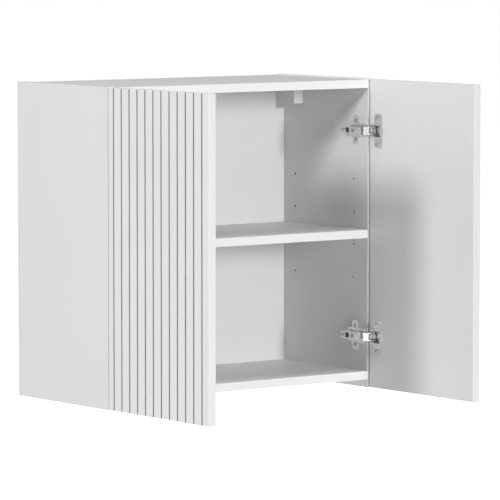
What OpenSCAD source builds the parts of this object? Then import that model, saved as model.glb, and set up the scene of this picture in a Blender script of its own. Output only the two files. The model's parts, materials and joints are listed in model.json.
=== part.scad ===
// Hanging wall cabinet with two grooved doors on concealed cup hinges.
// Millimetres. X runs along the width and is 0 at the middle. Y is 0 at the wall and the
// front faces -Y. Z is 0 at the bottom edges of the sides.

/* [Carcass] */
// Overall width of the carcass
carcass_w = 630; // [560:2:900]
// Height of the side panels
carcass_h = 600; // [560:5:760]
// Depth of the side panels
carcass_d = 300; // [280:5:360]
// Thickness of the sides, top, bottom and shelf
board_t = 16; // [16:1:18]
// Drop of the top panel below the side panels' top edges
top_drop = 1.5; // [0:0.5:3]
// Height of the open recess under the bottom panel
bottom_rise = 16; // [10:1:30]
// Distance from the wall to the back panel's front face
back_inset = 32; // [26:1:40]
// Thickness of the back panel
back_t = 3; // [3:0.5:6]
// Thickness of the edge strips
edging_t = 1; // [0.5:0.5:2]

/* [Shelf] */
// Height of the shelf's underside
shelf_z = 291.5; // [284:0.5:300]
// Gap between the shelf and each side
shelf_gap = 0.5; // [0.3:0.1:1]
// Diameter of the shelf pins and their holes
shelf_pin_d = 5; // [5:0.5:6]
// Distance from the front edge to the front column of holes
pin_column_front = 44.5; // [37:0.5:50]
// Distance from the wall to the rear column of holes
pin_column_rear = 68.5; // [60:0.5:80]
// Height of the lowest row of spare holes
pin_row_first = 212.5; // [200:0.5:220]
// Pitch of the rows of spare holes
pin_row_pitch = 64; // [60:1:66]

/* [Doors] */
// How far the doors stand open in this model
open_angle = 90; // [0:5:95]
// Thickness of the doors
door_t = 16; // [16:1:18]
// Gap between the closed doors, and between a door and the carcass edge
door_reveal = 2; // [2:0.5:3]
// Gap between a closed door and the carcass front
door_standoff = 2; // [2:0.5:3]
// Number of milled grooves on a door
groove_count = 12; // [4:1:12]
// Pitch of the grooves
groove_pitch = 25; // [20:1:25]
// Distance from the doors' meeting edge to the first groove
groove_first = 21; // [10:0.5:24]
// Width of a groove at the door's face
groove_w = 3.4; // [2:0.2:4]
// Depth of a groove
groove_depth = 3; // [1.5:0.5:3.5]

/* [Hinges] */
// Height of the lower hinges above the carcass bottom
hinge_low_z = 100; // [80:5:120]
// Distance of the upper hinges below the carcass top
hinge_top_drop = 100; // [80:5:120]
// Diameter of the hinge cup
cup_d = 35; // [35:0.5:36]
// Distance from the door's hinge edge to the cup's centre
cup_setback = 22.5; // [22:0.5:23]
// Length of the cup's flange
cup_flange_l = 66; // [62:1:68]
// Spacing of the cup's two screws
cup_screw_pitch = 52; // [48:1:52]
// Height of the mounting plate
plate_h = 57; // [54:1:60]
// Spacing of the mounting plate's two screws
plate_screw_pitch = 36; // [32:1:38]
// Distance from the front edge to the mounting plate's screws
plate_setback = 37; // [36:0.5:38]
// Height of the hinge arm's face above the side panel
arm_rise = 15; // [15:0.5:16]
// Width of the hinge arm
arm_w = 14.6; // [14:0.2:15]

/* [Hangers] */
// Width of the hanger cover
hanger_w = 21; // [20:1:24]
// Depth of the hanger cover
hanger_d = 61; // [58:1:66]
// Height of the hanger cover at its front
hanger_front_h = 37.5; // [36:0.5:42]
// Height of the hanger cover at the back panel
hanger_rear_h = 49.5; // [46:0.5:54]

/* [Hidden] */
$fn = 64;

// Colours
white_board = [0.93, 0.93, 0.925];
white_paint = [0.94, 0.94, 0.935];
white_plastic = [0.9, 0.9, 0.9];
back_white = [0.9, 0.9, 0.9];
nickel = [0.72, 0.72, 0.73];
dark_steel = [0.45, 0.45, 0.46];
beech = [0.8, 0.66, 0.45];

// Working clearances
eps = 0.01;
fit = 0.02;
running = 0.05;

// Carcass levels and planes
side_in = carcass_w / 2 - board_t;
top_z = carcass_h - top_drop;
ceiling_z = top_z - board_t;
floor_z = bottom_rise + board_t;
board_front = -carcass_d + edging_t;
bottom_mid_z = bottom_rise + board_t / 2;
top_mid_z = top_z - board_t / 2;

// Back panel and its grooves
groove_in = 6;
back_clear = 0.1;
back_rear = -back_inset + back_t;

// Hole positions in the sides
pin_hole_depth = 9;
shelf_pin_out = 9;
pin_columns = [-carcass_d + pin_column_front, -pin_column_rear];
pin_rows = [for (i = [0:3]) pin_row_first + i * pin_row_pitch];
shelf_pin_z = shelf_z - shelf_pin_d / 2;

// Corner fittings
fitting_columns = [-carcass_d + 50, -carcass_d + 200];
dowel_columns = [-carcass_d + 90, -carcass_d + 160];
cam_d = 15;
cam_depth = 12.5;
cam_reach = 24;
bolt_d = 7;
bolt_head_l = 3;
bolt_neck_l = 3;
bolt_thread_d = 5;
bolt_thread_l = 11;
dowel_d = 8;
dowel_in_side = 11;
dowel_in_panel = 20;

// Doors, in the closed position
door_in_x = door_reveal / 2;
door_edge_x = carcass_w / 2 - door_reveal;
door_w = door_edge_x - door_in_x;
door_z = 1;
door_h = carcass_h - 2 * door_z;
door_back = -carcass_d - door_standoff;
door_front = door_back - door_t;
groove_floor_w = groove_w - 1;

// Hinge pivots of the right doors, closed: on the arm's tip and in the cup
hinge_levels = [hinge_low_z, carcass_h - hinge_top_drop];
arm_pivot = [side_in - 10, -carcass_d - 1];
cup_pivot = [door_edge_x - 7, door_back - 2.8];
inner_cup_pivot = [door_edge_x - 6, door_back - 7.8];
inner_tail = [side_in - 8, -carcass_d + 11.3];
arm_rear_pivot = [side_in - 7.4, -carcass_d + 10.3];

// Share of the opening that each joint takes
link_share = -0.25;
inner_share = 0.04;
link_turn = link_share * open_angle;
door_turn = (1 - link_share) * open_angle;

// Hinge cup
cup_x = door_edge_x - cup_setback;
cup_depth = 11.5;
cup_wall = 0.8;
rim_rise = 0.4;
cup_r = cup_d / 2;
pocket_x = door_edge_x - 2.9;
pocket_w = 20.4;
flange_t = 1.2;
flange_far = door_edge_x - 38;
flange_near = door_edge_x - 15;
flange_lip = door_edge_x - 2;
flange_mid_w = 28;
mouth_far = door_edge_x - 31;
mouth_step = door_edge_x - 14;
mouth_w = 24;
cup_screw_d = 3.4;
cup_screw_head_d = 7;
cup_screw_l = 11;

// Hinge arm
arm_face = side_in - arm_rise;
arm_t = 1.4;
arm_front = -carcass_d + 4;
arm_rear = -carcass_d + 67;
flange_depth = 9;
lug_out = 5.7;
lug_t = 1.4;
lug_r = 3.2;
window_y = -carcass_d + 45.6;
window_l = 11;
window_w = 10;
side_screw_y = -carcass_d + 30;
side_screw_d = 10;
side_shank_d = 5.6;
side_head_t = 2.4;
side_head_sink = 0.3;
side_screw_l = 12;
clamp_screw_y = -carcass_d + 58;
clamp_screw_d = 8;
clamp_shank_d = 5;
clamp_head_t = 1.6;
clamp_screw_l = 13;

// Mounting plate
plate_t = 2;
plate_y = -carcass_d + plate_setback;
wing_w = 17;
plate_front = -carcass_d + 1;
plate_rear = -carcass_d + 60;
plate_body_w = 27;
rail_w = 10.8;
rail_front = -carcass_d + 18;
rail_rear = -carcass_d + 66;
rail_face = arm_face + arm_t + 1.8;
plate_screw_d = 5;
plate_head_d = 9;
plate_head_t = 1.6;
plate_screw_l = 13;

// Links and pins
outer_w = 15.6;
outer_t = 1.8;
web_t = 1;
web_end = 8.5;
inner_link_w = 7.8;
inner_link_t = 2.4;
arm_pin_d = 3;
cup_pin_d = 2.6;
inner_pin_d = 2.4;
tail_hole_r = 2.6;
tail_boss_r = 3.7;
inner_bend = [inner_cup_pivot[0] - 9.7, inner_cup_pivot[1] + 0.1];
link_v = cup_pivot - arm_pivot;
link_l = norm(link_v);
link_angle = atan2(link_v[1], link_v[0]);

// Spring
wire_d = 0.9;
coil_r = 2.6;
coil_turns = 7;

// Hangers
hanger_front = -back_inset - hanger_d;
hanger_in = side_in - hanger_w;
cover_t = 1.5;
cover_corner_r = 3;
housing_front = hanger_front + 4;
housing_rear = -back_inset - 2;
housing_low = ceiling_z - 34;
housing_high = ceiling_z - 4;
housing_w = 17;
housing_wall = 1.5;
hanger_peg_columns = [hanger_front + 14, hanger_front + 46];
hanger_peg_z = ceiling_z - 20;
hanger_peg_d = 10;
hanger_peg_l = 11;
hook_x = side_in - 11;
hook_z = ceiling_z - 28;
hook_h = 8;
hook_t = 2;
hook_root = hanger_front + 22;
hook_reach = -6;
hook_lip_l = 5;
hook_lip_drop = 10;
hook_hole_d = 4.4;
hanger_screw_y = hanger_front + 5;
hanger_screw_l = 14;
height_screw_x = side_in - 8;
height_screw_z = ceiling_z - 12;

// ---------- shared shapes ----------

// A box between two corners
module block(low, high) {
    translate(low) cube(high - low);
}

// A rectangle with round corners, centred
module round_rect(size, r) {
    square([size[0] - 2 * r, size[1]], center = true);
    square([size[0], size[1] - 2 * r], center = true);
    for (x = [-1, 1], y = [-1, 1])
        translate([x * (size[0] / 2 - r), y * (size[1] / 2 - r)]) circle(r);
}

// A cylinder along X from x0 to x1
module rod_x(x0, x1, y, z, d) {
    translate([x0, y, z]) rotate([0, 90, 0]) cylinder(d = d, h = x1 - x0);
}

// A cylinder along Y from y0 to y1
module rod_y(x, y0, y1, z, d) {
    translate([x, y0, z]) rotate([-90, 0, 0]) cylinder(d = d, h = y1 - y0);
}

// An upright cylinder centred on the hinge's level
module rod_z(p, z0, z1, d) {
    translate([p[0], p[1], z0]) cylinder(d = d, h = z1 - z0);
}

// A flat shape in the YZ plane made x0 to x1 thick; its own X is Y and its own Y is Z
module slab_x(x0, x1) {
    translate([x0, 0, 0]) rotate([90, 0, 90]) linear_extrude(x1 - x0) children();
}

// A flat shape in the XZ plane made y0 to y1 thick, for parts on a door's inner face
module slab_y(y0, y1) {
    translate([0, y1, 0]) rotate([90, 0, 0]) linear_extrude(y1 - y0) children();
}

// A cross recess cut along Z, centred
module cross(l, w, depth) {
    for (a = [45, 135])
        rotate([0, 0, a]) translate([-l / 2, -w / 2, 0]) cube([l, w, depth]);
}

// A screw along +Z with its head's face at z 0 and a cross recess
module screw(head_d, head_t, shank_d, l) {
    difference() {
        union() {
            translate([0, 0, eps]) cylinder(d = head_d, h = head_t - eps);
            cylinder(d = shank_d, h = l);
        }
        translate([0, 0, -eps]) cross(head_d * 0.6, head_d * 0.14, head_t * 0.7);
    }
}

// Children once for the right half and once mirrored for the left half
module both_sides() {
    children();
    mirror([1, 0, 0]) children();
}

// The mirror image, for the left half
module left() {
    mirror([1, 0, 0]) children();
}

module at_level(z) {
    translate([0, 0, z]) children();
}

// Turn about an upright axis through p
module turned(p, angle) {
    translate([p[0], p[1], 0]) rotate([0, 0, angle]) translate([-p[0], -p[1], 0]) children();
}

// Carry a closed link, door or inner link to where the opening angle puts it
module with_link() {
    turned(arm_pivot, link_turn) children();
}

module with_door() {
    with_link() turned(cup_pivot, door_turn) children();
}

module with_inner_link() {
    with_door() turned(inner_cup_pivot, (inner_share - 1) * open_angle) children();
}

// ---------- carcass ----------

// The right side panel, without its edge strip
module side_panel() {
    color(white_board) difference() {
        block([side_in, board_front, 0], [side_in + board_t, 0, carcass_h]);
        block([side_in - eps, -back_inset - back_clear, floor_z - groove_in],
              [side_in + groove_in, back_rear + back_clear, ceiling_z + groove_in]);
        for (y = pin_columns, z = concat(pin_rows, [shelf_pin_z]))
            rod_x(side_in - eps, side_in + pin_hole_depth, y, z, shelf_pin_d);
        for (z = hinge_levels, s = [-1, 1])
            rod_x(side_in - eps, side_in + plate_screw_l, plate_y, z + s * plate_screw_pitch / 2,
                  plate_screw_d + fit);
        for (z = [bottom_mid_z, top_mid_z]) {
            for (y = fitting_columns)
                rod_x(side_in - eps, side_in + bolt_thread_l, y, z, bolt_thread_d + fit);
            for (y = dowel_columns)
                rod_x(side_in - eps, side_in + dowel_in_side, y, z, dowel_d + fit);
        }
        for (y = hanger_peg_columns)
            rod_x(side_in - eps, side_in + hanger_peg_l, y, hanger_peg_z, hanger_peg_d + fit);
    }
}

module side_edging() {
    color(white_board)
        block([side_in, -carcass_d, 0], [side_in + board_t, board_front, carcass_h]);
}

// A board between the sides with bores for the fittings; z0 is its underside
module cross_board(z0) {
    mid_z = z0 + board_t / 2;
    difference() {
        block([-side_in, board_front, z0], [side_in, 0, z0 + board_t]);
        both_sides() {
            for (y = fitting_columns) {
                rod_x(side_in - cam_reach, side_in + eps, y, mid_z, bolt_d + 1);
                translate([side_in - cam_reach, y, z0 - eps]) cylinder(d = cam_d + fit, h = cam_depth);
            }
            for (y = dowel_columns)
                rod_x(side_in - dowel_in_panel, side_in + eps, y, mid_z, dowel_d + fit);
        }
    }
}

module top_panel() {
    color(white_board) difference() {
        cross_board(ceiling_z);
        block([-side_in - eps, -back_inset - back_clear, ceiling_z - eps],
              [side_in + eps, back_rear + back_clear, ceiling_z + groove_in]);
    }
}

module bottom_panel() {
    color(white_board) difference() {
        cross_board(bottom_rise);
        block([-side_in - eps, -back_inset - back_clear, floor_z - groove_in],
              [side_in + eps, back_rear + back_clear, floor_z + eps]);
    }
}

module front_strip(z0) {
    color(white_board)
        block([-side_in, -carcass_d, z0], [side_in, board_front, z0 + board_t]);
}

module shelf() {
    color(white_board)
        block([-side_in + shelf_gap, board_front, shelf_z],
              [side_in - shelf_gap, -back_inset - 1, shelf_z + board_t]);
}

module shelf_edging() {
    color(white_board)
        block([-side_in + shelf_gap, -carcass_d, shelf_z],
              [side_in - shelf_gap, board_front, shelf_z + board_t]);
}

// The back panel, notched at its top corners for the hanger hooks
module back_panel() {
    reach = side_in + groove_in - 0.2;
    color(back_white) difference() {
        block([-reach, -back_inset, floor_z - groove_in + 0.2],
              [reach, back_rear, ceiling_z + groove_in - 0.2]);
        both_sides()
            block([hanger_in + cover_t + 0.5, -back_inset - eps, ceiling_z - hanger_rear_h + 6],
                  [reach + eps, back_rear + eps, ceiling_z + groove_in]);
    }
}

// Steel pins in the sides that carry the shelf, each with a thin collar against the side
module shelf_pins() {
    color(nickel) both_sides() for (y = pin_columns) {
        rod_x(side_in - shelf_pin_out, side_in + pin_hole_depth - 1, y, shelf_pin_z, shelf_pin_d - fit);
        rod_x(side_in - shelf_gap, side_in - fit, y, shelf_pin_z - 1.5, shelf_pin_d + 1);
    }
}

// Cam locks under the top and bottom panels
module cam_lock(z0) {
    difference() {
        translate([side_in - cam_reach, 0, z0]) cylinder(d = cam_d, h = cam_depth - 0.5);
        rod_x(side_in - cam_reach - 1, side_in, 0, z0 + board_t / 2, bolt_d + 1);
        translate([side_in - cam_reach, 0, z0 - eps]) cross(8, 1.6, 2.5);
    }
}

module cam_locks() {
    color(dark_steel) both_sides() for (z = [bottom_rise, ceiling_z], y = fitting_columns)
        translate([0, y, 0]) cam_lock(z);
}

module cam_bolts() {
    head = side_in - cam_reach;
    color(nickel) both_sides() for (z = [bottom_mid_z, top_mid_z], y = fitting_columns) {
        rod_x(head, head + bolt_head_l, y, z, bolt_d);
        rod_x(head + bolt_head_l - eps, head + bolt_head_l + bolt_neck_l, y, z, bolt_thread_d - 1);
        rod_x(head + bolt_head_l + bolt_neck_l - eps, side_in - fit, y, z, bolt_d);
        rod_x(side_in - 2 * fit, side_in + bolt_thread_l - 1, y, z, bolt_thread_d);
    }
}

module dowels() {
    color(beech) both_sides() for (z = [bottom_mid_z, top_mid_z], y = dowel_columns)
        rod_x(side_in - dowel_in_panel + 1, side_in + dowel_in_side - 1, y, z, dowel_d);
}

// ---------- hangers, right side ----------

// Steel channel screwed to the side; its two pegs sit in the side panel
module hanger_housing() {
    web = side_in - housing_wall;
    color(nickel) {
        block([web, housing_front, housing_low], [side_in, housing_rear, housing_high]);
        for (z = [housing_low, housing_high - housing_wall])
            block([side_in - housing_w, housing_front, z], [web + eps, housing_rear, z + housing_wall]);
        for (y = hanger_peg_columns)
            rod_x(side_in - housing_wall, side_in + hanger_peg_l - 1, y, hanger_peg_z, hanger_peg_d);
    }
}

// Flat steel hook that reaches through the back panel's notch to the wall rail
module hanger_hook() {
    color(nickel) slab_x(hook_x - hook_t / 2, hook_x + hook_t / 2) difference() {
        union() {
            translate([hook_root, hook_z]) square([hook_reach - hook_root, hook_h]);
            translate([hook_reach - hook_lip_l, hook_z - hook_lip_drop])
                square([hook_lip_l, hook_lip_drop + eps]);
        }
        translate([hook_root + hook_h, hook_z + hook_h / 2]) circle(d = hook_hole_d);
    }
}

// Height and depth screws of one hanger, reached from the front
module hanger_screw_pair() {
    for (at = [[height_screw_x, height_screw_z], [hook_x, hook_z + hook_h / 2]])
        translate([at[0], hanger_screw_y, at[1]]) rotate([-90, 0, 0]) screw(6.5, 2, 4, hanger_screw_l);
}

// Outline of the cover seen along X, inset by t
module cover_outline(t) {
    polygon([
        [hanger_front + t, ceiling_z - hanger_front_h + t],
        [-back_inset, ceiling_z - hanger_rear_h + t],
        [-back_inset, ceiling_z - t],
        [hanger_front + t, ceiling_z - t]
    ]);
}

// Plan of the cover, with a round front corner on its inner side
module cover_plan() {
    r = cover_corner_r;
    translate([hanger_in, hanger_front]) {
        translate([r, r]) circle(r);
        translate([r, 0]) square([hanger_w - r, hanger_d]);
        translate([0, r]) square([hanger_w, hanger_d - r]);
    }
}

module hanger_cover() {
    color(white_plastic) difference() {
        intersection() {
            slab_x(hanger_in, side_in) cover_outline(0);
            translate([0, 0, ceiling_z - hanger_rear_h]) linear_extrude(hanger_rear_h) cover_plan();
        }
        slab_x(hanger_in + cover_t, side_in + eps) cover_outline(cover_t);
        block([hanger_in + cover_t, -back_inset - cover_t, ceiling_z - hanger_rear_h + 5],
              [side_in + eps, -back_inset + eps, ceiling_z - cover_t]);
    }
}

// ---------- hinge parts, right side, closed, level with z 0 ----------

// Cruciform plate with the rail that carries the arm
module mounting_plate() {
    body_mid = (plate_front + plate_rear) / 2;
    shoulder = 4;
    color(nickel) difference() {
        union() {
            slab_x(side_in - plate_t, side_in) union() {
                translate([plate_y, 0]) round_rect([wing_w, plate_h], 5);
                translate([body_mid, 0]) round_rect([plate_rear - plate_front, plate_body_w], 3);
                translate([plate_y, 0]) for (s = [-1, 1]) polygon([
                    [-wing_w / 2 - shoulder, s * (plate_body_w / 2 - eps)],
                    [wing_w / 2 + shoulder, s * (plate_body_w / 2 - eps)],
                    [wing_w / 2 - eps, s * (plate_body_w / 2 + shoulder)],
                    [-wing_w / 2 + eps, s * (plate_body_w / 2 + shoulder)]
                ]);
            }
            block([rail_face, rail_front, -rail_w / 2], [side_in - plate_t + eps, rail_rear, rail_w / 2]);
        }
        for (s = [-1, 1]) {
            z = s * plate_screw_pitch / 2;
            rod_x(side_in - plate_t - 1, side_in + 1, plate_y, z, plate_screw_d + 0.8);
            rod_x(side_in - plate_t - 1, side_in - plate_t / 2, plate_y, z, plate_head_d + 0.8);
        }
        block([rail_face - 1, window_y - window_l / 2, -window_w / 2 + 1],
              [side_in - plate_t, window_y + window_l / 2, window_w / 2 - 1]);
        rod_x(rail_face - 1, side_in - plate_t, side_screw_y, 0, side_shank_d + 2 * running);
        rod_x(rail_face - 1, side_in - plate_t, clamp_screw_y, 0, clamp_shank_d + 2 * running);
    }
}

// Pressed channel: face, two flanges and two lugs that hold the front pin
module hinge_arm() {
    half = arm_w / 2;
    lug_in = lug_out - lug_t;
    flange_x = arm_face + flange_depth;
    color(nickel) difference() {
        union() {
            block([arm_face, arm_front, -half], [arm_face + arm_t, arm_rear, half]);
            for (flip = [0, 1]) mirror([0, 0, flip]) {
                block([arm_face, arm_front, half - arm_t], [flange_x, arm_rear - 4, half]);
                block([arm_face, arm_front, lug_in], [flange_x, arm_front + 10, half]);
                block([arm_face + 2, arm_pivot[1], lug_in],
                      [arm_pivot[0] + lug_r, arm_front + 2, lug_out]);
                rod_z(arm_pivot, lug_in, lug_out, 2 * lug_r);
            }
        }
        rod_z(arm_pivot, -half - 1, half + 1, arm_pin_d + fit);
        rod_z(arm_rear_pivot, -half - 1, half + 1, inner_pin_d + fit);
        block([arm_face - 1, window_y - window_l / 2, -window_w / 2],
              [arm_face + arm_t + eps, window_y + window_l / 2, window_w / 2]);
        rod_x(arm_face - 1, arm_face + arm_t + eps, side_screw_y, 0, side_screw_d + 0.4);
        rod_x(arm_face - 1, arm_face + arm_t + eps, clamp_screw_y, 0, clamp_shank_d + 0.6);
        block([arm_face - 1, clamp_screw_y, -clamp_shank_d / 2 - 0.3],
              [arm_face + arm_t + eps, arm_rear + 1, clamp_shank_d / 2 + 0.3]);
    }
}

// Front screw moves the door sideways, rear screw clamps its depth
module adjusters() {
    color(dark_steel) {
        translate([arm_face + side_head_sink, side_screw_y, 0]) rotate([0, 90, 0])
            screw(side_screw_d, side_head_t, side_shank_d, side_screw_l);
        translate([arm_face - clamp_head_t, clamp_screw_y, 0]) rotate([0, 90, 0])
            screw(clamp_screw_d, clamp_head_t, clamp_shank_d, clamp_screw_l);
    }
}

// The front pin carries the outer link, the rear pin guides the inner link's tail
module arm_pin_pair() {
    half = arm_w / 2;
    rod_z(arm_pivot, -outer_w / 2 - 0.3, outer_w / 2 + 0.3, arm_pin_d);
    rod_z(arm_rear_pivot, -half, half, inner_pin_d);
}

// Section of the closed coil: one bulge a turn outside, one a turn inside
function coil_edge(side) = [
    for (i = [0:2 * coil_turns]) [
        coil_r + side * wire_d * (i % 2 == 0 ? 0.25 : 0.5),
        (i / 2 - coil_turns / 2) * wire_d
    ]
];

// Closed coil on the front pin, with one leg on the arm's face
module spring() {
    inner = coil_edge(-1);
    color(dark_steel) translate([arm_pivot[0], arm_pivot[1], 0]) {
        rotate_extrude() polygon(concat(
            coil_edge(1),
            [for (i = [2 * coil_turns:-1:0]) inner[i]]
        ));
        leg_z = (coil_turns - 1) / 2 * wire_d;
        block([-coil_r - wire_d * 0.35, 0.4, leg_z - wire_d * 0.35],
              [-coil_r + wire_d * 0.35, 6, leg_z + wire_d * 0.35]);
    }
}

// Outline of the outer link's side plates, along and across its two pivots
module outer_link_outline() {
    circle(3.2);
    translate([link_l, 0]) circle(2.4);
    polygon([
        [-3.1, 0.6], [-2.6, -8], [13, -8], [link_l + 2.2, -1],
        [link_l - 1.5, 0], [13.5, -1.5], [10.5, -1.1], [3, 1.1]
    ]);
}

// U-shaped link: two side plates joined by a web near the arm, with two ribs on it
module outer_link() {
    half = outer_w / 2;
    color(nickel) translate([arm_pivot[0], arm_pivot[1], 0]) rotate([0, 0, link_angle]) difference() {
        union() {
            for (z = [-half, half - outer_t])
                translate([0, 0, z]) linear_extrude(outer_t) outer_link_outline();
            block([-2.6, -8, -half], [web_end, -8 + web_t, half]);
        }
        for (z = [-1.6, 1.6])
            block([-1.4, -8.5, z - 0.5], [web_end - 1.2, -8 + web_t * 0.6, z + 0.5]);
        for (x = [0, link_l])
            translate([x, 0, -half - 1])
                cylinder(d = (x == 0 ? arm_pin_d : cup_pin_d) + 2 * running, h = outer_w + 2);
    }
}

// A bar of the inner link between two points
module bar(p, q, t) {
    v = q - p;
    translate(p) rotate(atan2(v[1], v[0])) translate([0, -t / 2]) square([norm(v), t]);
}

// Bent link: runs on a pin in the cup, and its tail has play on the arm's rear pin
module inner_link() {
    color(nickel) translate([0, 0, -inner_link_w / 2]) linear_extrude(inner_link_w) difference() {
        union() {
            translate(inner_cup_pivot) circle(1.9);
            translate(inner_bend) circle(inner_link_t / 2);
            translate(inner_tail) circle(tail_boss_r);
            bar(inner_cup_pivot, inner_bend, inner_link_t);
            bar(inner_bend, inner_tail, inner_link_t);
        }
        translate(inner_cup_pivot) circle(inner_pin_d / 2 + running);
        translate(inner_tail) circle(tail_hole_r);
    }
}

// Plan of the cup's pot and of its pocket toward the door's edge, grown by t
module pot_outline(t) {
    translate([cup_x, 0]) circle(cup_r + t);
    translate([cup_x, -pocket_w / 2 - t]) square([pocket_x - cup_x + t, pocket_w + 2 * t]);
}

// Pressed cup with its screw flange
module cup() {
    color(nickel) difference() {
        union() {
            slab_y(door_back - cup_depth, door_back + rim_rise) pot_outline(0);
            slab_y(door_back, door_back + flange_t) union() {
                translate([(flange_far + flange_near) / 2, 0])
                    round_rect([flange_near - flange_far, cup_flange_l], 5);
                translate([(flange_far + flange_lip) / 2, 0])
                    round_rect([flange_lip - flange_far, flange_mid_w], 6);
            }
        }
        slab_y(door_back - cup_depth + cup_wall, door_back - cup_wall) pot_outline(-cup_wall);
        slab_y(door_back - cup_wall - eps, door_back + flange_t + eps) intersection() {
            pot_outline(-cup_wall);
            union() {
                translate([mouth_far, -mouth_w / 2]) square([mouth_step - mouth_far, mouth_w]);
                translate([mouth_step - eps, -pocket_w / 2]) square([pocket_x - mouth_step, pocket_w]);
            }
        }
        for (s = [-1, 1])
            rod_y(cup_x, door_back - 1, door_back + flange_t + 1, s * cup_screw_pitch / 2,
                  cup_screw_d + 0.4);
        rod_z(cup_pivot, -pocket_w / 2 - 1, pocket_w / 2 + 1, cup_pin_d + fit);
        rod_z(inner_cup_pivot, -pocket_w / 2 - 1, pocket_w / 2 + 1, inner_pin_d + fit);
    }
}

// Two short studs for the outer link, and one through pin for the inner link
module cup_pin_set() {
    far = pocket_w / 2;
    for (s = [0, 1]) mirror([0, 0, s]) rod_z(cup_pivot, outer_w / 2 - outer_t - 0.2, far, cup_pin_d);
    rod_z(inner_cup_pivot, -far, far, inner_pin_d);
}

module cup_screw_pair() {
    for (s = [-1, 1])
        translate([cup_x, door_back + flange_t + 1.4, s * cup_screw_pitch / 2]) rotate([90, 0, 0])
            screw(cup_screw_head_d, 1.4 - fit, cup_screw_d, cup_screw_l);
}

module plate_screw_pair() {
    for (s = [-1, 1])
        translate([side_in - plate_t / 2 - plate_head_t - fit, plate_y, s * plate_screw_pitch / 2])
            rotate([0, 90, 0]) screw(plate_head_d, plate_head_t, plate_screw_d, plate_screw_l);
}

// ---------- doors ----------

// Plan of a closed right door: one outline with all its grooves
function groove_points(x) = [
    [x - groove_w / 2, door_front], [x - groove_floor_w / 2, door_front + groove_depth],
    [x + groove_floor_w / 2, door_front + groove_depth], [x + groove_w / 2, door_front]
];

module door_outline() {
    first_x = door_in_x + groove_first;
    polygon(concat(
        [[door_in_x, door_back], [door_in_x, door_front]],
        [for (i = [0:groove_count - 1]) for (p = groove_points(first_x + i * groove_pitch)) p],
        [[door_edge_x, door_front], [door_edge_x, door_back]]
    ));
}

module door() {
    color(white_paint) difference() {
        translate([0, 0, door_z]) linear_extrude(door_h) door_outline();
        for (z = hinge_levels) at_level(z) {
            slab_y(door_back - cup_depth - 0.2, door_back + eps) pot_outline(0.1);
            for (s = [-1, 1])
                rod_y(cup_x, door_back - 11, door_back + eps, s * cup_screw_pitch / 2, cup_screw_d + fit);
        }
    }
}

// ---------- nodes ----------

left() side_panel();  // left_side
side_panel();  // right_side
top_panel();
bottom_panel();
shelf();
back_panel();
left() side_edging();  // left_side_edging
side_edging();  // right_side_edging
front_strip(ceiling_z);  // top_edging
front_strip(bottom_rise);  // bottom_edging
shelf_edging();
cam_locks();
cam_bolts();
dowels();
shelf_pins();
left() hanger_housing();  // left_hanger_housing
left() hanger_hook();  // left_hanger_hook
left() hanger_cover();  // left_hanger_cover
hanger_housing();  // right_hanger_housing
hanger_hook();  // right_hanger_hook
hanger_cover();  // right_hanger_cover
color(dark_steel) both_sides() hanger_screw_pair();  // hanger_screws
left() at_level(hinge_levels[0]) mounting_plate();  // left_lower_plate
left() at_level(hinge_levels[1]) mounting_plate();  // left_upper_plate
at_level(hinge_levels[0]) mounting_plate();  // right_lower_plate
at_level(hinge_levels[1]) mounting_plate();  // right_upper_plate
left() at_level(hinge_levels[0]) hinge_arm();  // left_lower_arm
left() at_level(hinge_levels[1]) hinge_arm();  // left_upper_arm
at_level(hinge_levels[0]) hinge_arm();  // right_lower_arm
at_level(hinge_levels[1]) hinge_arm();  // right_upper_arm
left() at_level(hinge_levels[0]) adjusters();  // left_lower_adjusters
left() at_level(hinge_levels[1]) adjusters();  // left_upper_adjusters
at_level(hinge_levels[0]) adjusters();  // right_lower_adjusters
at_level(hinge_levels[1]) adjusters();  // right_upper_adjusters
left() at_level(hinge_levels[0]) spring();  // left_lower_spring
left() at_level(hinge_levels[1]) spring();  // left_upper_spring
at_level(hinge_levels[0]) spring();  // right_lower_spring
at_level(hinge_levels[1]) spring();  // right_upper_spring
color(dark_steel) both_sides() for (z = hinge_levels) at_level(z) plate_screw_pair();  // plate_screws
color(dark_steel) both_sides() for (z = hinge_levels) at_level(z) arm_pin_pair();  // arm_pins
left() with_link() at_level(hinge_levels[0]) outer_link();  // left_lower_outer_link
left() with_link() at_level(hinge_levels[1]) outer_link();  // left_upper_outer_link
with_link() at_level(hinge_levels[0]) outer_link();  // right_lower_outer_link
with_link() at_level(hinge_levels[1]) outer_link();  // right_upper_outer_link
left() with_inner_link() at_level(hinge_levels[0]) inner_link();  // left_lower_inner_link
left() with_inner_link() at_level(hinge_levels[1]) inner_link();  // left_upper_inner_link
with_inner_link() at_level(hinge_levels[0]) inner_link();  // right_lower_inner_link
with_inner_link() at_level(hinge_levels[1]) inner_link();  // right_upper_inner_link
left() with_door() at_level(hinge_levels[0]) cup();  // left_lower_cup
left() with_door() at_level(hinge_levels[1]) cup();  // left_upper_cup
with_door() at_level(hinge_levels[0]) cup();  // right_lower_cup
with_door() at_level(hinge_levels[1]) cup();  // right_upper_cup
color(dark_steel) left() with_door() for (z = hinge_levels) at_level(z) cup_pin_set();  // left_cup_pins
color(dark_steel) with_door() for (z = hinge_levels) at_level(z) cup_pin_set();  // right_cup_pins
color(dark_steel) left() with_door() for (z = hinge_levels) at_level(z) cup_screw_pair();  // left_cup_screws
color(dark_steel) with_door() for (z = hinge_levels) at_level(z) cup_screw_pair();  // right_cup_screws
left() with_door() door();  // left_door
with_door() door();  // right_door
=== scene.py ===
"""Looks for the hanging wall cabinet: softened CAD parts, materials, studio light and camera."""
import json
import math

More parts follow.
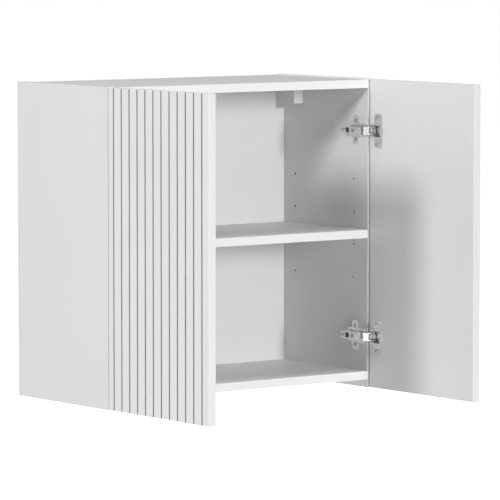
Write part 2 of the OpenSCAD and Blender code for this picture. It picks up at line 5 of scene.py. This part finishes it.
import bmesh
import bpy
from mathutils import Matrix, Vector


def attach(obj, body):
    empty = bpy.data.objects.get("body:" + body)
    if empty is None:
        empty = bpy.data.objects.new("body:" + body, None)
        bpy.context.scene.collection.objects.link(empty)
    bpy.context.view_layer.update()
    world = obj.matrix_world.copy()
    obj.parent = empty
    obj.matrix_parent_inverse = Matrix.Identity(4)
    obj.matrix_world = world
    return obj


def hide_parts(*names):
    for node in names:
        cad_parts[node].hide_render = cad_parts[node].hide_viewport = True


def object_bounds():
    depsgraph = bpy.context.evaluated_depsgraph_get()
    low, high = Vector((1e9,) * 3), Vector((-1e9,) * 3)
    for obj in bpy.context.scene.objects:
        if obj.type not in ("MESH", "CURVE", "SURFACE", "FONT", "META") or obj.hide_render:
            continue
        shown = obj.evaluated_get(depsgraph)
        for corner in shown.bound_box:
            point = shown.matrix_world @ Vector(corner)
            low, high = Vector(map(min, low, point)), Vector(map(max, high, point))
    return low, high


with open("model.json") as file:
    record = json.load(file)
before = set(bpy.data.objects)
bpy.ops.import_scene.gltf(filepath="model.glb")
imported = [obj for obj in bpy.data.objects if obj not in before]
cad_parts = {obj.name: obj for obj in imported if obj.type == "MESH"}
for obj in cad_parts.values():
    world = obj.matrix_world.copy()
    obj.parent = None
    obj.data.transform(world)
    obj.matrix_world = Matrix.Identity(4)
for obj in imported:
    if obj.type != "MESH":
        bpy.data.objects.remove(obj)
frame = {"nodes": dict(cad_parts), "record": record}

cad_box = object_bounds()
MM = 0.001
BODY_OF = {n: body for body, nodes in frame["record"]["behaviour"]["bodies"].items() for n in nodes}
SLOT_OF = {s["node"]: s["material_slot"] for s in frame["record"]["subparts"]}

# ---------------------------------------------------------------- materials

BRIGHTEST = 0.95
EDGE_HIGHLIGHT_SAMPLES = 4
EDGE_HIGHLIGHT_START = 0.80
EDGE_HIGHLIGHT_STOP = 0.98
HOLLOW_SHADE_SAMPLES = 8
GROOVE_SHADE_REACH = 4 * MM
GROOVE_SHADE_START = 0.45
GROOVE_SHADE_STOP = 0.9
FACED_GLOSS = 0.35


class Graph:
    """A small helper round one material's node tree."""

    def __init__(self, name):
        self.material = bpy.data.materials.new(name)
        self.material.use_nodes = True
        self.tree = self.material.node_tree
        self.shader = self.tree.nodes["Principled BSDF"]

    def node(self, kind, inputs=None, **settings):
        """A new node with its settings; each input is another node's socket or a value."""
        made = self.tree.nodes.new(kind)
        for key, value in settings.items():
            setattr(made, key, value)
        for key, value in (inputs or {}).items():
            if isinstance(value, bpy.types.NodeSocket):
                self.tree.links.new(value, made.inputs[key])
            else:
                made.inputs[key].default_value = value
        return made

    def link(self, socket, key):
        """Feeds a socket to the shader's input of that name."""
        self.tree.links.new(socket, self.shader.inputs[key])

    def place(self, stretch=(1, 1, 1)):
        """Where a point is on the piece, stretched along its axes."""
        where = self.node("ShaderNodeTexCoord").outputs["Object"]
        return self.node("ShaderNodeMapping", {"Vector": where, "Scale": stretch}).outputs[0]

    def noise(self, scale, where, detail=4.0, rough=0.55):
        """Smooth noise with that many lumps to the metre."""
        inputs = {"Vector": where, "Scale": scale, "Detail": detail, "Roughness": rough}
        return self.node("ShaderNodeTexNoise", inputs).outputs["Fac"]

    def ramp(self, factor, low, high, start=0.3, stop=0.7):
        """Goes from low to high while the factor goes from start to stop."""
        inputs = {0: factor, 1: start, 2: stop, 3: low, 4: high}
        return self.node("ShaderNodeMapRange", inputs).outputs[0]

    def mix(self, factor, a, b):
        """Colour a where the factor is 0, colour b where it is 1."""
        made = self.node("ShaderNodeMix", {"Factor": factor}, data_type="RGBA")
        for socket, value in (("A", a), ("B", b)):
            target = [i for i in made.inputs if i.name == socket and i.type == "RGBA"][0]
            if isinstance(value, bpy.types.NodeSocket):
                self.tree.links.new(value, target)
            else:
                target.default_value = (*value, 1)
        return [o for o in made.outputs if o.type == "RGBA"][0]

    def painted_edge_highlight(self, radius):
        """Painted highlight mask: 1 on edges, 0 elsewhere."""
        bevel = self.node("ShaderNodeBevel", {"Radius": radius}, samples=EDGE_HIGHLIGHT_SAMPLES)
        normal = self.node("ShaderNodeNewGeometry").outputs["Normal"]
        turn = self.node("ShaderNodeVectorMath", {0: bevel.outputs[0], 1: normal},
                         operation="DOT_PRODUCT")
        return self.ramp(turn.outputs["Value"], 1.0, 0.0, EDGE_HIGHLIGHT_START, EDGE_HIGHLIGHT_STOP)

    def painted_hollow_shade(self, distance, start, stop):
        """Painted shade mask: 1 deep in the piece's own grooves and hollows, where occlusion falls, 0
        on its open faces.
        """
        open_sky = self.node("ShaderNodeAmbientOcclusion", {"Distance": distance},
                             samples=HOLLOW_SHADE_SAMPLES, only_local=True)
        return self.ramp(open_sky.outputs["AO"], 1.0, 0.0, start, stop)

    def bump(self, height, strength, distance):
        """Fine relief in the surface."""
        inputs = {"Height": height, "Strength": strength, "Distance": distance}
        self.link(self.node("ShaderNodeBump", inputs).outputs[0], "Normal")


def shade(value):
    """A neutral grey."""
    return (value, value, value)


def facing(name, tone, grain, rough, groove_shade_tone=None):
    """White melamine or lacquer: cloudy tone, fine pebble, edges brightened as a painted highlight,
    and painted shade darkening the grooves.
    """
    g = Graph(name)
    where = g.place()
    cloud = g.noise(5.0, where, 3.0)
    pebble = g.noise(grain, where, 5.0, 0.6)
    colour = g.mix(g.ramp(cloud, 0.0, 1.0), shade(tone * 0.985), shade(tone * 1.01))
    colour = g.mix(g.ramp(pebble, 0.0, 0.35), colour, shade(tone * 0.96))
    # Painted highlight: edges brightened in the colour, as where rounded edges catch the light
    colour = g.mix(g.painted_edge_highlight(0.8 * MM), colour, shade(min(tone * 1.05, BRIGHTEST)))
    # Painted shade: grooves and hollows darkened in the colour where occlusion falls
    if groove_shade_tone:
        painted_groove_shade = g.painted_hollow_shade(GROOVE_SHADE_REACH, GROOVE_SHADE_START, GROOVE_SHADE_STOP)
        colour = g.mix(painted_groove_shade, colour, shade(groove_shade_tone))
    g.link(colour, "Base Color")
    g.link(g.ramp(pebble, rough - 0.05, rough + 0.07), "Roughness")
    g.shader.inputs["Specular IOR Level"].default_value = FACED_GLOSS
    g.bump(pebble, 0.12, 0.15 * MM)
    return g.material


def metal(name, tone, rough, brush):
    """Plated steel or zinc: fine drawn lines, cloudy tarnish, and edges brightened as a painted
    highlight.
    """
    g = Graph(name)
    lines = g.noise(900.0, g.place(brush), 3.0)
    cloud = g.noise(90.0, g.place(), 3.0)
    colour = g.mix(g.ramp(cloud, 0.0, 1.0), shade(tone * 0.86), shade(tone))
    # Painted highlight: edges brightened in the colour
    colour = g.mix(g.painted_edge_highlight(0.3 * MM), colour, shade(min(tone * 1.25, BRIGHTEST)))
    g.link(colour, "Base Color")
    g.link(g.ramp(lines, rough - 0.07, rough + 0.1), "Roughness")
    g.shader.inputs["Metallic"].default_value = 1.0
    g.bump(lines, 0.08, 0.05 * MM)
    return g.material


def moulded(name, tone):
    """Moulded plastic with a fine spark-eroded skin."""
    g = Graph(name)
    skin = g.noise(1400.0, g.place(), 2.0)
    cloud = g.noise(40.0, g.place(), 2.0)
    g.link(g.mix(g.ramp(cloud, 0.0, 1.0), shade(tone * 0.97), shade(tone)), "Base Color")
    g.link(g.ramp(skin, 0.36, 0.5), "Roughness")
    g.bump(skin, 0.15, 0.06 * MM)
    return g.material


def beech_wood(name):
    """Turned beech along X: long pores and soft growth bands."""
    g = Graph(name)
    pores = g.noise(500.0, g.place((0.08, 1, 1)), 4.0)
    bands = g.noise(120.0, g.place((0.05, 1, 1)), 2.0)
    colour = g.mix(g.ramp(bands, 0.0, 1.0), (0.50, 0.33, 0.17), (0.62, 0.44, 0.25))
    colour = g.mix(g.ramp(pores, 0.4, 0.0), colour, (0.30, 0.18, 0.09))
    g.link(colour, "Base Color")
    g.shader.inputs["Roughness"].default_value = 0.6
    g.bump(pores, 0.3, 0.1 * MM)
    return g.material


MATERIALS = {
    "door_paint": facing("door_paint", tone=0.80, grain=1200.0, rough=0.42, groove_shade_tone=0.2),
    "faced_board": facing("faced_board", tone=0.77, grain=700.0, rough=0.48),
    "edging": facing("edging", tone=0.84, grain=900.0, rough=0.38),
    "back_board": facing("back_board", tone=0.73, grain=900.0, rough=0.55),
    "cover_plastic": moulded("cover_plastic", tone=0.78),
    "nickel_steel": metal("nickel_steel", tone=0.72, rough=0.27, brush=(1, 0.06, 1)),
    "screw_steel": metal("screw_steel", tone=0.55, rough=0.33, brush=(1, 1, 0.2)),
    "zinc": metal("zinc", tone=0.5, rough=0.5, brush=(1, 1, 1)),
    "beech": beech_wood("beech"),
}

# ---------------------------------------------------------------- pieces

WELD_DISTANCE = 0.001 * MM
FLAT_ANGLE = math.radians(1.0)
ROUNDED_ANGLE = math.radians(35.0)
SMOOTH_ANGLE = math.radians(32)
ROUNDING_SEGMENTS = 2
SOFT_EDGES = {
    "door_paint": 0.5 * MM,
    "faced_board": 0.3 * MM,
    "edging": 0.4 * MM,
    "cover_plastic": 0.4 * MM,
}


def softened(node, radius):
    """Adds a copy of a CAD node with its convex edges rounded, which stands for that node."""
    mesh = bmesh.new()
    mesh.from_mesh(frame["nodes"][node].data)
    bmesh.ops.remove_doubles(mesh, verts=mesh.verts, dist=WELD_DISTANCE)
    bmesh.ops.dissolve_limit(mesh, angle_limit=FLAT_ANGLE, verts=mesh.verts, edges=mesh.edges)
    inner = [e for e in mesh.edges if len(e.link_faces) == 2]
    edges = [e for e in inner if e.calc_face_angle_signed(0) > ROUNDED_ANGLE]
    bmesh.ops.bevel(
        mesh, geom=edges, offset=radius, segments=ROUNDING_SEGMENTS, profile=0.5, affect="EDGES",
        offset_type="OFFSET", clamp_overlap=False, miter_outer="ARC",
    )
    for face in mesh.faces:
        face.smooth = True
    data = bpy.data.meshes.new(node + "_shell")
    mesh.to_mesh(data)
    mesh.free()
    data.set_sharp_from_angle(angle=SMOOTH_ANGLE)
    data.materials.append(MATERIALS[SLOT_OF[node]])
    piece = bpy.data.objects.new(node + "_shell", data)
    bpy.context.scene.collection.objects.link(piece)
    weighted = piece.modifiers.new("weighted", "WEIGHTED_NORMAL")
    weighted.keep_sharp = True
    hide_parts(node)
    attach(piece, BODY_OF[node])


def finish_cad(node):
    """A CAD node that stays as it is gets its slot's material."""
    source = frame["nodes"][node]
    source.data.materials.clear()
    source.data.materials.append(MATERIALS[SLOT_OF[node]])


for node_name in frame["nodes"]:
    slot_name = SLOT_OF[node_name]
    if slot_name in SOFT_EDGES:
        softened(node_name, SOFT_EDGES[slot_name])
    else:
        finish_cad(node_name)

# ---------------------------------------------------------------- studio

# Camera, in metres and degrees; the lens is in millimetres
SENSOR_WIDTH = 36
LENS = 295.46
CAMERA_AT = (-4.6450, -6.5043, 0.9256)
YAW = 36.899
PITCH = -4.740
NEAREST = 0.5
FARTHEST = 60

FLOOR_DROP = 0.35
FLOOR_RADIUS = 60.0
FLOOR_SIDES = 64
FLOOR_GLOW = 1.0
WORLD_GLOW = 1.0

# Each soft light: its direction, distance from the cabinet's middle, width and height, and watts
MIDDLE = Vector((0, -0.15, 0.3))
LIGHTS = {
    "key": ((0.57, 0.20, -0.21), 5.0, (0.7, 0.7), 106),
    "front": ((0.0, 1.0, -0.13), 12.0, (0.9, 3.4), 780),
    "side": ((1.0, -0.15, -0.2), 6.0, (3.0, 3.0), 90),
    "fill": ((0.05, 1.0, -0.2), 6.0, (2.5, 2.5), 40),
    "top": ((0.1, 0.05, -1.0), 4.0, (2.0, 2.0), 98),
    "bounce": ((0.0, 0.0, 1.0), 3.0, (10.0, 10.0), 290),
}


def plain_colours():
    """Plain display colours, so that a white studio comes out white."""
    bpy.context.scene.view_settings.view_transform = "Standard"


def add_camera():
    """The camera, turned left and right by the yaw and up and down by the pitch."""
    data = bpy.data.cameras.new("camera")
    data.sensor_width = SENSOR_WIDTH
    data.lens = LENS
    data.clip_start = NEAREST
    data.clip_end = FARTHEST
    camera = bpy.data.objects.new("camera", data)
    camera.location = CAMERA_AT
    camera.rotation_euler = (math.radians(90 + PITCH), 0, math.radians(-YAW))
    bpy.context.scene.collection.objects.link(camera)
    bpy.context.scene.camera = camera


def add_floor():
    """A round pale floor under the cabinet. It glows evenly; the bounce light does its lighting."""
    low = cad_box[0][2] - FLOOR_DROP
    ring = [math.radians(360 / FLOOR_SIDES * i) for i in range(FLOOR_SIDES)]
    points = [(FLOOR_RADIUS * math.cos(a), FLOOR_RADIUS * math.sin(a), low) for a in ring]
    data = bpy.data.meshes.new("studio_floor")
    data.from_pydata(points, [], [tuple(range(FLOOR_SIDES))])
    floor = bpy.data.objects.new("studio_floor", data)
    bpy.context.scene.collection.objects.link(floor)
    g = Graph("studio_floor")
    cloud = g.noise(0.6, g.place(), 2.0)
    g.link(g.mix(g.ramp(cloud, 0.0, 1.0), shade(0.93), shade(0.95)), "Base Color")
    g.shader.inputs["Roughness"].default_value = 0.9
    g.shader.inputs["Emission Color"].default_value = (1, 1, 1, 1)
    g.shader.inputs["Emission Strength"].default_value = FLOOR_GLOW
    data.materials.append(g.material)
    floor.visible_diffuse = False
    floor.visible_shadow = False


def add_world():
    """A white surround that only the camera sees."""
    world = bpy.data.worlds.new("studio")
    world.use_nodes = True
    background = world.node_tree.nodes["Background"]
    background.inputs["Color"].default_value = (1, 1, 1, 1)
    background.inputs["Strength"].default_value = WORLD_GLOW
    world.cycles_visibility.diffuse = False
    world.cycles_visibility.glossy = False
    bpy.context.scene.world = world


def add_light(name, way, distance, size, power):
    """A soft oval light that shines along a direction onto the middle of the cabinet."""
    data = bpy.data.lights.new(name, "AREA")
    data.shape = "ELLIPSE"
    data.size, data.size_y = size
    data.energy = power
    light = bpy.data.objects.new(name, data)
    way = Vector(way).normalized()
    light.location = MIDDLE - distance * way
    light.rotation_euler = way.to_track_quat("-Z", "Y").to_euler()
    light.visible_camera = False
    bpy.context.scene.collection.objects.link(light)


plain_colours()
add_camera()
add_floor()
add_world()
for light_name, settings in LIGHTS.items():
    add_light(light_name, *settings)
